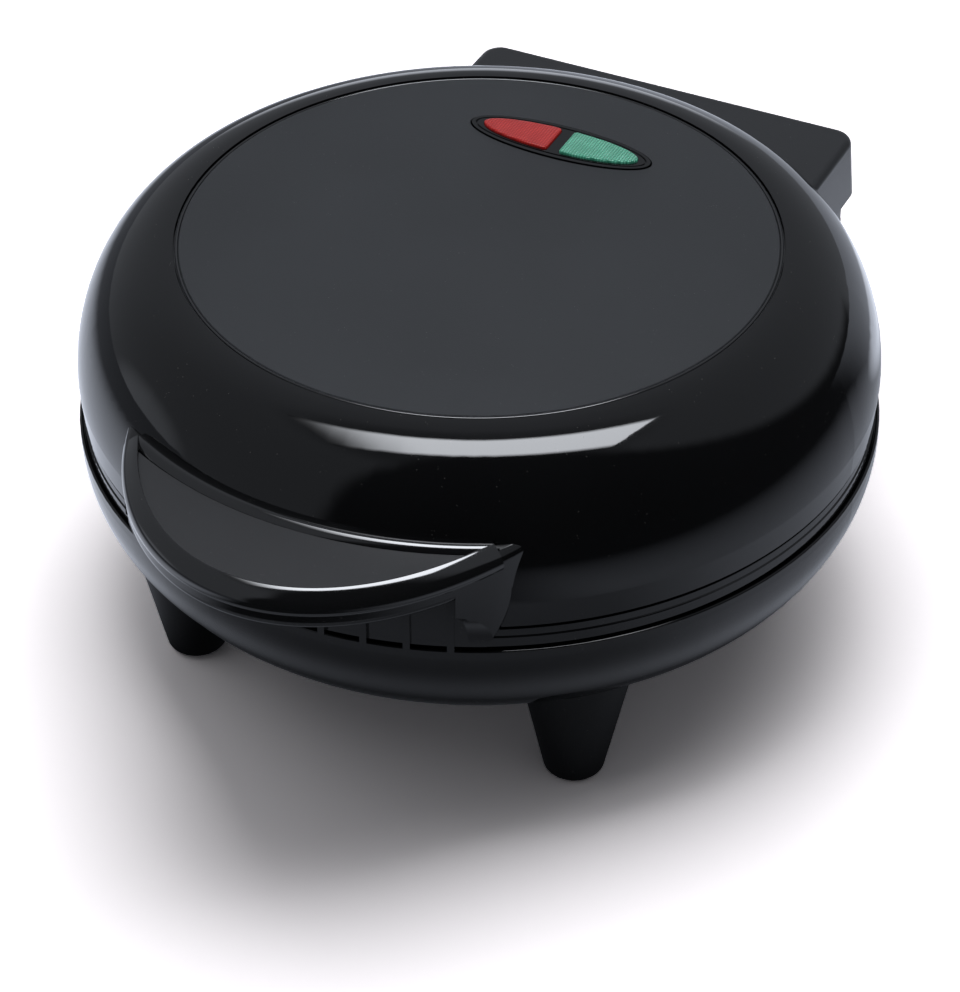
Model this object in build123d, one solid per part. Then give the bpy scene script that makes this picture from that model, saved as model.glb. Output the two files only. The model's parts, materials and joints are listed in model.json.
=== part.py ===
"""A round countertop pancake maker with a hinged lid, in millimetres.

The table is z = 0, the hinge is at +Y and the handle at -Y. Every piece is
modelled round the upright axis of the cooking plates, and the finished set is
moved so that the origin is the middle of the footprint on the table.
"""
from build123d import *
from math import cos, radians, sin, sqrt
import os

# Whole form
parting_height = 64.5
lip_radius = 108.0
shell_wall = 2.4
seat_gap = 0.1
running_gap = 0.4

# Lower housing
underside_height = 28.5
bowl_corner_radius = 33.0
bowl_centre_radius = lip_radius - bowl_corner_radius
lip_drop = 0.6
lip_thickness = 2.2
ledge_drop = 2.4
ledge_width = 2.8
ledge_height = 3.0
vent_count = 5
vent_length = 18.0
vent_width = 3.0
vent_pitch = 8.0
vent_row_distance = 15.0
screw_seat_wall = 1.2
screw_seat_rise = 1.5

# Legs
front_leg_inset_across = 18.0
front_leg_inset_along = 14.5
rear_leg_inset_across = 17.8
rear_leg_inset_along = 19.3
leg_tip_radius = 7.8
leg_root_radius = 13.6
leg_tip_rounding = 2.4
pad_radius = 5.2
pad_depth = 2.4
pad_stand = 0.8
leg_screw_bite = 14.0

# Lid cover
cover_inset = 0.6
cover_radius = lip_radius - cover_inset
cover_height = 115.0
widest_height = 78.7
cover_edge_draft = 0.5
cover_edge_radius = cover_radius - cover_edge_draft
cover_edge_height = 71.3
crown_wall = 2.2

# Top panel
panel_border = 27.55
panel_radius = cover_radius - panel_border
panel_thickness = 1.7
panel_groove = 0.35
panel_rim_width = 1.0
panel_rim_drop = 0.45
panel_edge_chamfer = 0.25

# Indicator window
window_inset = 29.25
window_along = panel_radius - window_inset
bezel_half_length = 26.6
bezel_half_width = 7.9
bezel_groove = 0.5
bezel_step = 1.8
bezel_depth = 5.4
bezel_stand = 0.3
bezel_line_inset = 1.1
bezel_line_width = 0.5
bezel_line_depth = 0.4
window_half_length = 23.1
window_half_width = 5.7
window_web = 3.4
window_corner = 1.1
lens_gap = 0.15
lens_stand = 0.7
lens_rounding = 0.4
lens_flange = 0.9
lens_flange_thickness = 0.8

# Indicator lamps
lamp_radius = 2.4
lamp_length = 11.0
lamp_across = 12.0
lamp_drop = 10.6
holder_length = 70.0
holder_width = 11.0
holder_thickness = 1.6
holder_post_across = 30.5
holder_post_radius = 3.2
holder_cheek_wall = 1.6
holder_screw_bite = 5.0

# Cooking plates
plate_inset = 12.0
plate_radius = lip_radius - plate_inset
plate_rim_gap = 0.15
plate_rim_width = 2.4
plate_land = 1.1
plate_wall = 2.8
plate_rim_slope = 0.6
cup_root = 0.5
outer_wells = 6
well_border = 7.5
well_gap = 7.5
well_radius = (plate_radius - well_border - well_gap) / 3
well_pitch = 2 * well_radius + well_gap
well_draft = 1.7
well_rounding = 2.2
cup_wall = 2.4
lower_well_depth = 5.6
upper_well_depth = 5.2

# Heating elements
element_ring_inset = 14.5
element_ring_radius = well_pitch - element_ring_inset
element_tube_radius = 3.3
element_depth = 12.3
element_gap_angle = 22.0
element_bend_radius = 7.0
element_tail = 5.0
element_pin_radius = 1.2
element_pin_length = 5.0
element_pad_width = 11.0
element_groove_gap = 0.1

# Element clamps
clamp_count = 3
clamp_reach = 8.4
clamp_boss_radius = 3.4
clamp_width = 8.0
clamp_thickness = 1.0
clamp_slack = 0.25

# Posts between plates, shields and shells
post_count = 3
post_outset = 10.5
post_circle = well_pitch + post_outset
post_radius = 4.2
shell_post_radius = 5.2
shell_post_bore = 3.7
shell_post_web = 2.2
shield_depth = 21.5
shield_inset = 8.0
shield_radius = plate_radius - shield_inset
shield_thickness = 0.8
shield_rim = 7.0
shield_window = 10.0
element_hole_gap = 1.5

# Screws
screw_radius = 1.4
screw_head_radius = 2.8
screw_head_height = 1.8
screw_hole_gap = 0.2
screw_bite = 7.0

# Trim rings
ring_inner_ledge = 3.2
ring_wall = 2.0
ring_plate_gap = 0.5
ring_ledge_thickness = 1.5
ring_flange_thickness = 1.4
band_inset = 0.5
band_radius = cover_edge_radius - band_inset
band_step = 0.5
band_foot = 0.8
band_step_height = 3.4
band_spigot = 2.2
band_wall = 2.2

# Handle
grip_half_width = 46.0
handle_wing = 18.8
handle_half_width = grip_half_width + handle_wing
handle_length = 95.4
handle_projection = 27.5
handle_centre = handle_length - lip_radius - handle_projection
handle_top = 96.0
handle_foot = 68.0
handle_slab = 9.5
handle_crown = 2.3
handle_under_rounding = 2.8
handle_lip_inset = 2.4
handle_lip_width = 1.3
handle_lip_height = 0.7
handle_lip_rounding = 0.35
handle_end_sweep = 4.3
handle_end_height = 84.0
skirt_stand = 2.5
skirt_radius = lip_radius + skirt_stand
cheek_flare_reach = 13.5
cheek_flare_radius = skirt_radius + cheek_flare_reach
cheek_flare_bulge = 3.0
rib_angle = 5.6
rib_count = 9
rib_height = 1.4
rib_width = 1.8
rib_root = 0.5
rib_overhang = 0.7
handle_screw_angle = 17.0
handle_screw_height = 90.5
handle_screw_boss_radius = 4.5
handle_screw_boss_depth = 7.5

# Hinge
hinge_stand = 13.0
hinge_along = lip_radius + hinge_stand
hinge_height = 73.0
pin_radius = 2.0
pin_fit = 0.05
ear_radius = 4.2
ear_width = 10.6
ear_lug_gap = 0.7
ear_arm_length = 9.0
ear_arm_rise = 4.0
lug_width = 9.4
pin_end_gap = 0.3
opened_clearance = 2.0

# Hinge hood on the lid
hood_half_width = 58.4
hood_draft = 1.6
hood_reach = 7.0
hood_back = hinge_along + hood_reach
hood_top = 90.6
hood_foot = 72.6
hood_wall = 2.4
hood_corner = 6.0
hood_edge = 2.2
hood_screw_across = 22.0
hood_screw_height = 81.5
hood_boss_radius = 4.2
hood_boss_reach = 7.0

# Hinge tower on the base
tower_entry = 24.0
tower_front = lip_radius - tower_entry
tower_reach = 3.3
tower_back = hinge_along + tower_reach
tower_deck = 64.9
tower_foot = 34.0
tower_wall = 2.5
tower_foot_rounding = 2.5
tower_screw_across = 36.0
tower_screw_height = 51.0
tower_boss_reach = 9.0

# Cord entry and terminals
gland_height = 46.0
gland_radius = 6.0
gland_bore = 3.6
gland_flange = 2.0
gland_flange_thickness = 1.6
wire_window_width = 22.0
wire_window_height = 9.0
terminal_length = 30.0
terminal_width = 13.0
terminal_height = 9.0
terminal_inset = 19.0
terminal_along = bowl_centre_radius - terminal_inset
terminal_ways = 3

# Thermostat and thermal fuse
thermostat_cap_radius = 7.4
thermostat_cap_height = 3.4
thermostat_body_height = 5.2
thermostat_ear_reach = 11.2
thermostat_boss_radius = 2.8
thermostat_boss_height = 3.0
thermostat_tab_length = 6.0
thermostat_tab_width = 6.0
thermostat_tab_thickness = 0.8
thermostat_tab_across = 4.0
fuse_radius = 2.2
fuse_length = 20.0
fuse_clip_reach = 7.0
fuse_lead_radius = 0.7
fuse_lead_length = 6.0

# Worked out from the sizes above
well_places = [(0, 0)] + [
    (well_pitch * cos(radians(60 * i)), well_pitch * sin(radians(60 * i)))
    for i in range(outer_wells)
]
post_angles = [30 + 360 / post_count * i for i in range(post_count)]
clamp_angles = [30 + 360 / clamp_count * i for i in range(clamp_count)]
plate_back = plate_land + plate_wall
lip_top = parting_height - lip_drop
bowl_centre_height = underside_height + bowl_corner_radius
bowl_floor = underside_height + shell_wall
panel_top = cover_height - seat_gap
panel_seat = panel_top - panel_thickness
panel_seat_radius = panel_radius + panel_groove
crown_inside = panel_seat - crown_wall
shield_face = shield_depth + shield_thickness
hood_inside_back = hood_back - hood_wall
hood_inside_top = hood_top - hood_wall
pin_room = hood_half_width - tower_wall - running_gap
lamp_height = cover_height - lamp_drop
holder_top = lamp_height - lamp_radius - seat_gap
ear_across = hood_half_width - hood_wall - lug_width - ear_lug_gap - ear_width / 2
front_leg_across = bowl_centre_radius - front_leg_inset_across
front_leg_along = bowl_centre_radius - front_leg_inset_along
rear_leg_across = hood_half_width - rear_leg_inset_across
rear_leg_along = tower_back - rear_leg_inset_along
front_leg_places = [(x, -front_leg_along) for x in (-front_leg_across, front_leg_across)]
rear_leg_places = [(x, rear_leg_along) for x in (-rear_leg_across, rear_leg_across)]
screw_seat_radius = screw_head_radius + screw_seat_wall
leg_circle = sqrt(front_leg_across ** 2 + front_leg_along ** 2)
leg_seat_reach = leg_circle + screw_seat_radius - bowl_centre_radius
leg_seat_drop = sqrt((bowl_corner_radius - shell_wall) ** 2 - max(0.0, leg_seat_reach) ** 2)
leg_seat_height = bowl_centre_height - leg_seat_drop
handle_under = handle_top - handle_slab
handle_plateau = handle_top - handle_lip_height


def turned(*lines):
    """A solid turned round the upright axis from a half section."""
    return revolve(Plane.XZ * make_face([*lines]), Axis.Z)


def ring(inner, outer, low, high):
    """A plain ring between two radii and two heights."""
    return turned(Polyline((inner, low), (outer, low), (outer, high), (inner, high), close=True))


def post(x, y, radius, low, high):
    """An upright cylinder between two heights."""
    upright = Cylinder(radius, high - low, align=(Align.CENTER, Align.CENTER, Align.MIN))
    return Pos(x, y, low) * upright


def block(low, high):
    """A box between its lowest and highest corners."""
    sizes = [b - a for a, b in zip(low, high)]
    return Pos(*low) * Box(*sizes, align=(Align.MIN, Align.MIN, Align.MIN))


def on_circle(radius, angle):
    """A point on a level circle, at an angle from +X."""
    return radius * cos(radians(angle)), radius * sin(radians(angle))


def pan_screw(bite=screw_bite):
    """A pan-head screw whose head stands on z = 0 and whose shank goes down."""
    crown = screw_head_radius - screw_head_height / 2
    head = Polyline((0, 0), (screw_head_radius, 0), (screw_head_radius, screw_head_height / 2),
                    (crown, screw_head_height), (0, screw_head_height), close=True)
    shank = ring(0, screw_radius, -bite, 0)
    return turned(head) + shank


def into_lid(shape):
    """Place a piece drawn outward from the parting plane in the lid."""
    return Pos(0, 0, parting_height) * shape


def into_base(shape):
    """Place a piece drawn outward from the parting plane in the base."""
    return Pos(0, 0, parting_height) * mirror(shape, about=Plane.XY)


def joined(shapes):
    """Separate solids of one kind that share a node."""
    return Compound(children=[solid for shape in shapes for solid in shape.solids()])


def bowl_form(grow, top):
    """The lower housing's outside as a solid, grown by an even amount."""
    radius = bowl_corner_radius + grow
    side = bowl_centre_radius + radius
    floor = bowl_centre_height - radius
    corner = CenterArc((bowl_centre_radius, bowl_centre_height), radius, 270, 90)
    rest = Polyline((side, bowl_centre_height), (side, top), (0, top), (0, floor),
                    (bowl_centre_radius, floor))
    return turned(corner, rest)


def cover_form(grow, foot):
    """The lid cover's outside as a solid, grown by an even amount."""
    centre = (panel_seat_radius, widest_height)
    across = cover_radius - panel_seat_radius + grow
    rise = cover_height - widest_height + grow
    shoulder = EllipticalCenterArc(centre, across, rise, 0, arc_size=90)
    rest = Polyline((panel_seat_radius, widest_height + rise), (0, widest_height + rise), (0, foot),
                    (cover_edge_radius + grow, foot), (cover_radius + grow, widest_height))
    return turned(shoulder, rest)


def shell_posts(low, high, seat, away):
    """Posts of a shell, their screw bores and their screws, reaching a heat shield.

    The posts fill the heights from low to high. The screw heads stand on a web
    at the seat height, and away is +1 where they are driven from above.
    """
    posts, bores, screws = [], [], []
    for angle in post_angles:
        x, y = on_circle(post_circle, angle)
        posts.append(post(x, y, shell_post_radius, low, high))
        web = seat + away * shell_post_web
        mouth = high + 1 if away > 0 else low - 1
        bores.append(post(x, y, shell_post_bore, min(web, mouth), max(web, mouth)))
        bores.append(post(x, y, screw_radius + screw_hole_gap, low - 1, high + 1))
        turn = Rot(0, 0, 0) if away > 0 else Rot(180, 0, 0)
        bite = screw_bite + shell_post_web + shield_thickness
        screws.append(Pos(x, y, web) * turn * pan_screw(bite))
    return posts, bores, screws


def wire_window(near, far):
    """The opening through the back of the bowl for the wires from the hinge tower."""
    middle = (tower_foot + tower_deck) / 2
    half_height = wire_window_height / 2
    half_width = wire_window_width / 2
    return block((-half_width, near, middle - half_height), (half_width, far, middle + half_height))


def make_lower_housing():
    """The glossy bowl with its ledge, posts, vents and screw holes."""
    inside = bowl_form(-shell_wall, lip_top + 1)
    shell = bowl_form(0, lip_top) - inside
    ledge_outer = lip_radius - lip_thickness
    ledge_top = parting_height - ledge_drop
    ledge_inner = ledge_outer - ledge_width
    ledge = Polyline((ledge_inner, ledge_top), (lip_radius - shell_wall / 2, ledge_top),
                     (lip_radius - shell_wall / 2, ledge_top - ledge_height - ledge_width),
                     (ledge_inner, ledge_top - ledge_height), close=True)
    shell += turned(ledge) & bowl_form(-shell_wall / 2, lip_top)
    rebate = ring(lip_radius - shell_wall - 1, ledge_outer, ledge_top, lip_top + 1)
    shell -= rebate
    shield_under = parting_height - shield_face
    posts, bores, screws = shell_posts(underside_height, shield_under, shield_under, -1)
    for piece in posts:
        shell += piece
    for bore in bores:
        shell -= bore
    shell -= wire_window(bowl_centre_radius, lip_radius + 1)
    for row in (-1, 1):
        for i in range(vent_count):
            x = (i - (vent_count - 1) / 2) * vent_pitch
            slot = SlotOverall(vent_length, vent_width, rotation=90)
            shell -= Pos(x, row * vent_row_distance, underside_height - 1) * extrude(slot, shell_wall + 2)
    for x, y in front_leg_places:
        shell -= post(x, y, screw_radius + screw_hole_gap, 0, bowl_floor + bowl_corner_radius)
        shell += leg_screw_seat(x, y)
    for x in (-tower_screw_across, tower_screw_across):
        shell += tower_screw_seat(x)
        shell -= tower_screw_hole(x)
    return shell, screws


def leg_screw_seat(x, y):
    """A low boss in the bowl under the head of a leg's screw, with its hole."""
    boss = post(x, y, screw_seat_radius, underside_height, leg_seat_height)
    boss &= bowl_form(0, lip_top)
    return boss - post(x, y, screw_radius + screw_hole_gap, 0, leg_seat_height + 1)


def tower_screw_start(x):
    """The place inside the bowl where a tower screw's head stands."""
    reach = bowl_centre_radius + sqrt((bowl_corner_radius - shell_wall) ** 2
                                      - (bowl_centre_height - tower_screw_height) ** 2)
    return sqrt(reach ** 2 - (abs(x) + screw_seat_radius) ** 2) - screw_seat_rise


def level_post(x, z, radius, near, far):
    """A cylinder that lies along Y."""
    lying = Cylinder(radius, far - near, align=(Align.CENTER, Align.CENTER, Align.MIN))
    return Pos(x, near, z) * Rot(-90, 0, 0) * lying


def tower_screw_seat(x):
    """A flat seat inside the bowl for a tower screw."""
    near = tower_screw_start(x)
    seat = level_post(x, tower_screw_height, screw_seat_radius, near, lip_radius)
    return (seat & bowl_form(0, lip_top)) - tower_screw_hole(x)


def tower_screw_hole(x):
    """The hole of a tower screw through the bowl's back."""
    near = tower_screw_start(x) - 0.5
    return level_post(x, tower_screw_height, screw_radius + screw_hole_gap, near, lip_radius + 1)


def leg_form(top):
    """A tapered leg that stands on the middle of the table, up to a height."""
    slope = (leg_root_radius - leg_tip_radius) / (underside_height - pad_stand)
    root = leg_tip_radius + slope * (top - pad_stand)
    outline = FilletPolyline((0, top), (root, top), (leg_tip_radius, pad_stand), (0, pad_stand),
                             radius=(0, leg_tip_rounding), close=False)
    closing = Line((0, pad_stand), (0, top))
    leg = revolve(Plane.XZ * make_face([outline, closing]), Axis.Z)
    return leg - post(0, 0, pad_radius + seat_gap, 0, pad_depth)


def make_front_leg(x, y):
    """One leg under the bowl, its top fitted to the bowl's rounded corner."""
    leg = Pos(x, y, 0) * leg_form(bowl_centre_height)
    leg -= bowl_form(seat_gap / 2, lip_top)
    return leg - post(x, y, screw_radius, leg_seat_height - shell_wall - leg_screw_bite, leg_seat_height)


def make_rear_leg(x, y):
    """One leg under the hinge tower, where it carries the weight of the open lid."""
    leg = Pos(x, y, 0) * leg_form(tower_foot)
    return leg - post(x, y, screw_radius, tower_foot - leg_screw_bite, tower_foot + 1)


def make_pad(x, y):
    """The soft pad in a leg's tip."""
    return post(x, y, pad_radius, 0, pad_depth - seat_gap)


def make_cooking_plate(well_depth, has_thermostat):
    """A cast plate seen from the parting plane outward, with its wells."""
    inner_rim = plate_radius - plate_rim_width
    body = turned(Polyline((0, plate_land), (inner_rim - plate_rim_slope, plate_land),
                           (inner_rim, plate_rim_gap), (plate_radius, plate_rim_gap),
                           (plate_radius, plate_back), (0, plate_back), close=True))
    floor = plate_land + well_depth
    back = floor + cup_wall
    root = plate_land + cup_root
    cup = post(0, 0, well_radius + cup_wall - well_draft / 2, root, back)
    for x, y in well_places:
        body += Pos(x, y, 0) * cup
    pad_inner = element_ring_radius - element_pad_width / 2
    body += ring(pad_inner, pad_inner + element_pad_width, root, element_depth)
    for angle in clamp_angles:
        for side in (-1, 1):
            x, y = on_circle(element_ring_radius + side * clamp_reach, angle)
            body += post(x, y, clamp_boss_radius, root, element_depth)
            body -= post(x, y, screw_radius, element_depth - screw_bite, element_depth + 1)
    for angle in post_angles:
        x, y = on_circle(post_circle, angle)
        body += post(x, y, post_radius, root, shield_depth)
        body -= post(x, y, screw_radius, shield_depth - screw_bite - 1, shield_depth + 1)
    if has_thermostat:
        for x in (-thermostat_ear_reach, thermostat_ear_reach):
            body += post(x, 0, thermostat_boss_radius, floor + 1, back + thermostat_boss_height)
            body -= post(x, 0, screw_radius, back - 1, back + thermostat_boss_height + 1)
    else:
        body += post(0, fuse_clip_reach, thermostat_boss_radius, floor + 1, back + fuse_radius)
        body -= post(0, fuse_clip_reach, screw_radius, back - 1, back + fuse_radius + 1)
    low = well_radius - well_draft
    mouth = Line((0, plate_land - 1), (well_radius, plate_land - 1))
    lead = Line((well_radius, plate_land - 1), (well_radius, plate_land))
    side = FilletPolyline((well_radius, plate_land), (low, floor), (0, floor), radius=well_rounding)
    axis = Line((0, floor), (0, plate_land - 1))
    well = turned(mouth, lead, side, axis)
    for x, y in well_places:
        body -= Pos(x, y, 0) * well
    groove = Torus(element_ring_radius, element_tube_radius + element_groove_gap)
    return body - Pos(0, 0, element_depth) * groove


def make_element():
    """The tubular heating element: an open ring with two upturned ends."""
    section = Rot(90, 0, 0) * Circle(element_tube_radius)
    start = Pos(element_ring_radius, 0, element_depth) * section
    sweep_angle = 360 - 2 * element_gap_angle
    first_angle = 90 + element_gap_angle
    tube = Rot(0, 0, first_angle) * revolve(start, Axis.Z, sweep_angle)
    for angle, way in ((first_angle, -1), (first_angle + sweep_angle, 1)):
        x, y = on_circle(element_ring_radius, angle)
        tx, ty = -way * sin(radians(angle)), way * cos(radians(angle))
        end_face = Plane((x, y, element_depth), z_dir=(tx, ty, 0)) * Circle(element_tube_radius)
        pivot = Axis((x, y, element_depth + element_bend_radius), (ty, -tx, 0))
        tube += revolve(end_face, pivot, 90)
        rise = element_depth + element_bend_radius
        ex, ey = x + tx * element_bend_radius, y + ty * element_bend_radius
        tube += post(ex, ey, element_tube_radius, rise, rise + element_tail)
        tip = rise + element_tail
        tube += post(ex, ey, element_pin_radius, tip - 1, tip + element_pin_length)
    return tube


def element_end_places():
    """Where the element's two ends pass the heat shield."""
    places = []
    for angle, way in ((90 + element_gap_angle, -1), (90 - element_gap_angle, 1)):
        x, y = on_circle(element_ring_radius, angle)
        places.append((x - way * sin(radians(angle)) * element_bend_radius,
                       y + way * cos(radians(angle)) * element_bend_radius))
    return places


def strap(tube_radius, reach, tip):
    """A strap bent over a tube along Y, its feet on z = 0, reaching to both sides along X."""
    inner = tube_radius + clamp_slack
    outer = inner + clamp_thickness
    hump = Circle(outer) - Circle(inner)
    feet = Rectangle(2 * (reach + tip), clamp_thickness, align=(Align.CENTER, Align.MIN))
    outline = (hump + feet) - Circle(inner)
    outline &= Rectangle(2 * (reach + tip), outer, align=(Align.CENTER, Align.MIN))
    return extrude(Plane.XZ * outline, clamp_width / 2, both=True)


def make_clamps():
    """Three straps that hold the element down, and their screws."""
    clamps, screws = [], []
    for angle in clamp_angles:
        x, y = on_circle(element_ring_radius, angle)
        clamp = strap(element_tube_radius, clamp_reach, clamp_boss_radius)
        for side in (-1, 1):
            hole = post(side * clamp_reach, 0, screw_radius + screw_hole_gap, -1, clamp_thickness + 1)
            clamp -= hole
            sx, sy = on_circle(element_ring_radius + side * clamp_reach, angle)
            seat = element_depth + clamp_thickness
            screws.append(Pos(sx, sy, seat) * pan_screw(screw_bite - 1))
        clamps.append(Pos(x, y, element_depth) * Rot(0, 0, angle) * clamp)
    return clamps, screws


def make_heat_shield(middle_hole):
    """A pressed steel pan between a plate and its shell."""
    pan = ring(0, shield_radius, shield_depth, shield_face)
    pan += ring(shield_radius - shield_thickness, shield_radius, shield_face - shield_rim, shield_face)
    for angle in post_angles:
        x, y = on_circle(post_circle, angle)
        pan -= post(x, y, screw_radius + screw_hole_gap, shield_depth - 1, shield_face + 1)
    for x, y in element_end_places():
        pan -= post(x, y, element_tube_radius + element_hole_gap, shield_depth - 1, shield_face + 1)
    if middle_hole:
        pan -= post(0, 0, shield_window, shield_depth - 1, shield_face + 1)
    return pan


def make_lower_trim_ring():
    """The ring that carries the lower plate on the bowl's ledge."""
    bore = plate_radius + ring_plate_gap
    ledge_face = plate_back + seat_gap
    ledge_back = ledge_face + ring_ledge_thickness
    flange_back = ledge_drop - seat_gap
    flange_face = flange_back - ring_flange_thickness
    rim = lip_radius - lip_thickness - seat_gap
    inner = bore - ring_inner_ledge - ring_plate_gap
    return turned(Polyline((inner, ledge_face), (bore, ledge_face), (bore, flange_face),
                           (rim, flange_face), (rim, flange_back), (bore + ring_wall, flange_back),
                           (bore + ring_wall, ledge_back), (inner, ledge_back), close=True))


def make_upper_trim_ring():
    """The stepped band under the cover, which carries the upper plate."""
    bore = plate_radius + ring_plate_gap
    inner = bore - ring_inner_ledge - ring_plate_gap
    ledge_face = plate_back + seat_gap
    ledge_back = ledge_face + ring_ledge_thickness
    flange_back = band_foot + ring_flange_thickness
    step = band_step_height
    shoulder = cover_edge_height - running_gap - parting_height
    spigot_outer = cover_edge_radius - shell_wall - 2 * seat_gap
    spigot_inner = spigot_outer - band_wall
    spigot_end = shoulder + band_spigot
    neck = band_radius - band_step
    return turned(Polyline((inner, ledge_face), (bore, ledge_face), (bore, band_foot),
                           (band_radius, band_foot), (band_radius, step), (neck, step),
                           (neck, shoulder), (spigot_outer, shoulder), (spigot_outer, spigot_end),
                           (spigot_inner, spigot_end), (spigot_inner, flange_back),
                           (bore + ring_wall, flange_back), (bore + ring_wall, ledge_back),
                           (inner, ledge_back), close=True))


def make_upper_cover():
    """The glossy dome, with the seat of the top panel and its inner posts."""
    outside = cover_form(0, cover_edge_height)
    inside = cover_form(-shell_wall, cover_edge_height - 1)
    inside -= ring(0, panel_seat_radius + crown_wall, crown_inside, cover_height)
    shell = outside - inside
    shield_over = parting_height + shield_face
    posts, bores, screws = shell_posts(shield_over, panel_seat, shield_over, 1)
    for piece in posts:
        shell += piece
    for angle in handle_screw_angles():
        shell += handle_screw_seat(angle)
    for x in (-hood_screw_across, hood_screw_across):
        shell += hood_screw_seat(x)
    for x in (-holder_post_across, holder_post_across):
        shell += post(x, window_along, holder_post_radius, holder_top, crown_inside + 0.5)
    shell -= post(0, 0, panel_seat_radius, panel_seat, cover_height + 1)
    for bore in bores:
        shell -= bore
    mouth_edge = seat_gap - bezel_step
    mouth = Ellipse(bezel_half_length + mouth_edge, bezel_half_width + mouth_edge)
    shell -= Pos(0, window_along, crown_inside - 1) * extrude(mouth, crown_wall + 2)
    for angle in handle_screw_angles():
        shell -= handle_screw_hole(angle, screw_radius + screw_hole_gap, cover_radius)
    for x in (-hood_screw_across, hood_screw_across):
        shell -= hood_screw_hole(x)
    for x in (-holder_post_across, holder_post_across):
        shell -= post(x, window_along, screw_radius, holder_top - 1, holder_top + holder_screw_bite)
    return shell, screws


def handle_screw_angles():
    """The directions of the handle's three screws."""
    return [270 + i * handle_screw_angle for i in (-1, 0, 1)]


def radial_post(angle, z, radius, near, far):
    """A cylinder that points away from the upright axis."""
    lying = level_post(0, z, radius, near, far)
    return Rot(0, 0, angle - 90) * lying


def handle_screw_start():
    """The distance from the axis at which the handle screws' heads stand."""
    drop = handle_screw_height - widest_height
    rise = cover_height - widest_height
    out = (cover_radius - panel_seat_radius) * sqrt(1 - (drop / rise) ** 2)
    return panel_seat_radius + out - handle_screw_boss_depth


def handle_screw_seat(angle):
    """A flat seat inside the dome for a handle screw."""
    near = handle_screw_start()
    seat = radial_post(angle, handle_screw_height, handle_screw_boss_radius, near, cover_radius)
    return seat & cover_form(0, cover_edge_height)


def handle_screw_hole(angle, radius, far):
    """The hole of a handle screw."""
    return radial_post(angle, handle_screw_height, radius, handle_screw_start() - 1, far)


def make_handle_screws():
    """The three screws that hold the handle from inside the dome."""
    bite = handle_screw_boss_depth + screw_bite
    level = Pos(0, handle_screw_start(), handle_screw_height) * Rot(90, 0, 0) * pan_screw(bite)
    return [Rot(0, 0, angle - 90) * level for angle in handle_screw_angles()]


def hood_screw_start():
    """The distance behind the axis at which the hood screws' heads stand."""
    inner_wall = cover_radius - shell_wall
    return sqrt(inner_wall ** 2 - (hood_screw_across + hood_boss_radius) ** 2) - screw_seat_rise


def hood_screw_seat(x):
    """A flat seat inside the dome for a hood screw."""
    seat = level_post(x, hood_screw_height, hood_boss_radius, hood_screw_start(), cover_radius)
    return seat & cover_form(0, cover_edge_height)


def hood_screw_hole(x):
    """The hole of a hood screw through the dome's back."""
    clear = screw_radius + screw_hole_gap
    return level_post(x, hood_screw_height, clear, hood_screw_start(), cover_radius)


def handle_outline(grow):
    """The handle's rounded front in plan, grown by an even amount."""
    return Pos(0, handle_centre) * Ellipse(handle_half_width + grow, handle_length + grow)


def make_handle():
    """The crescent handle with its raised lip, finger gap, skirt and grip ribs."""
    slab = Pos(0, 0, handle_foot) * extrude(handle_outline(0), handle_plateau - handle_foot)
    slab &= block((-lip_radius, -2 * lip_radius, 0), (lip_radius, handle_centre, cover_height))
    body = slab - cover_form(seat_gap, cover_edge_height - running_gap)
    body -= ring(0, cover_radius + seat_gap, 0, widest_height)
    top_edge = [e for e in body.edges() if is_front_edge(e, handle_plateau)]
    body = fillet(top_edge, handle_crown)
    under = handle_under
    reach = handle_length - handle_centre
    gap = block((-grip_half_width, -reach, handle_foot - 1), (grip_half_width, 0, under))
    body -= gap - ring(0, skirt_radius, 0, under + 1)
    body -= cheek_flare()
    under_edge = [e for e in body.edges() if is_front_edge(e, under)]
    body = fillet(under_edge, handle_under_rounding)
    body &= handle_ends()
    body += handle_lip()
    for i in range(rib_count):
        angle = 270 + (i - (rib_count - 1) / 2) * rib_angle
        rib = block((skirt_radius - rib_root, -rib_width / 2, handle_foot - rib_overhang),
                    (skirt_radius + rib_height, rib_width / 2, under + rib_root))
        body += Rot(0, 0, angle) * rib
    for angle in handle_screw_angles():
        far = handle_screw_start() + handle_screw_boss_depth + screw_bite + 1
        body -= handle_screw_hole(angle, screw_radius, far)
    return body


def handle_tip_across():
    """How far from the middle the handle's rounded front meets the dome."""
    a, b, c = handle_half_width ** -2, handle_length ** -2, handle_centre
    half = c * b / (b - a)
    rest = (c ** 2 * b + cover_radius ** 2 * a - 1) / (b - a)
    along = half - sqrt(half ** 2 - rest)
    along = along if along < 0 else half + sqrt(half ** 2 - rest)
    return sqrt(cover_radius ** 2 - along ** 2)


def handle_ends():
    """The room the handle keeps within seen from the front: its ends sweep in to its foot."""
    across = handle_tip_across() + handle_crown
    foot_across = handle_tip_across() - handle_end_sweep
    top = (across, cover_height)
    bend = (handle_tip_across(), handle_end_height)
    foot = (foot_across, handle_foot - rib_overhang)
    sides = []
    for side in (-1, 1):
        points = [(side * x, z) for x, z in (top, (across, handle_end_height + handle_crown), bend, foot)]
        sides += [Polyline(*points[:3]), TangentArc(points[2], points[3], tangent=(0, -1))]
    closing = [Line((-top[0], top[1]), top), Line((-foot[0], foot[1]), foot)]
    return extrude(Plane.XZ * make_face([*sides, *closing]), 2 * lip_radius)


def handle_crescent(inset):
    """The crescent of the handle's top in plan, drawn in by an even amount."""
    front = Pos(0, handle_centre - lip_radius) * Rectangle(2 * lip_radius, 2 * lip_radius)
    return (handle_outline(-inset) & front) - Circle(plateau_dome_radius() + inset)


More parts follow.
